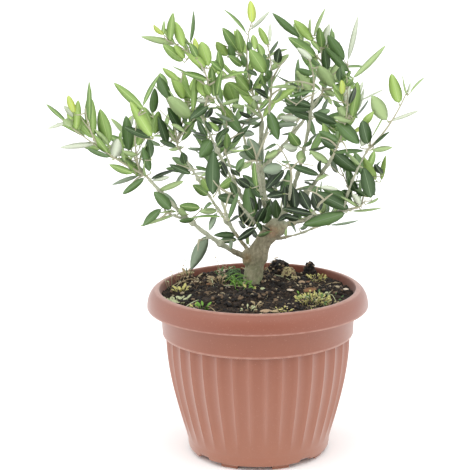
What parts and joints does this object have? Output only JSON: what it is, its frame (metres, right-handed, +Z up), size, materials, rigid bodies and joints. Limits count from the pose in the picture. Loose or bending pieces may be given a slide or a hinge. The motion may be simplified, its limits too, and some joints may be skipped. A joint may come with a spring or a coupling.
{
  "type": "olive bonsai in a fluted pot",
  "caption": "Small olive tree with a leaning trunk, spreading boughs and loose leafy shoots, growing in soil in a round fluted plastic pot with a rolled collar.",
  "frame": {"origin": "middle of the pot's flat underside, at the level the pot stands on", "axes": "+Z up, -Y towards the side the picture was taken from, +X to its right"},
  "size_m": [0.3592, 0.2548, 0.4488],
  "materials": {
    "pot": "matte",
    "soil": "matte",
    "bark": "matte",
    "foliage": "satin"
  },
  "bodies": {
    "root": {"bough_back_centre": "bark", "bough_back_left": "bark", "bough_back_low": "bark", "bough_back_right": "bark", "bough_centre": "bark", "bough_far_right": "bark", "bough_front_centre": "bark", "bough_front_left": "bark", "bough_front_low": "bark", "bough_front_right": "bark", "bough_left_low": "bark", "bough_left_mid": "bark", "bough_left_side": "bark", "bough_left_up": "bark", "bough_right_cross": "bark", "bough_right_low": "bark", "bough_right_outer": "bark", "bough_right_stem": "bark", "bough_top_right": "bark", "leaves_back_centre": "foliage", "leaves_back_left": "foliage", "leaves_back_low": "foliage", "leaves_back_right": "foliage", "leaves_far_right": "foliage", "leaves_front_centre": "foliage", "leaves_front_left": "foliage", "leaves_front_low": "foliage", "leaves_front_right": "foliage", "leaves_left_end": "foliage", "leaves_left_hanging": "foliage", "leaves_left_mid": "foliage", "leaves_left_outer": "foliage", "leaves_left_side": "foliage", "leaves_left_top": "foliage", "leaves_right_end": "foliage", "leaves_right_outer": "foliage", "leaves_right_stem": "foliage", "leaves_right_top": "foliage", "leaves_right_under": "foliage", "leaves_top": "foliage", "leaves_top_right": "foliage", "pot": "pot", "soil": "soil", "trunk": "bark", "twig_left_hanging": "bark", "twig_left_outer": "bark", "twig_low_right": "bark"}
  },
  "joints": []
}
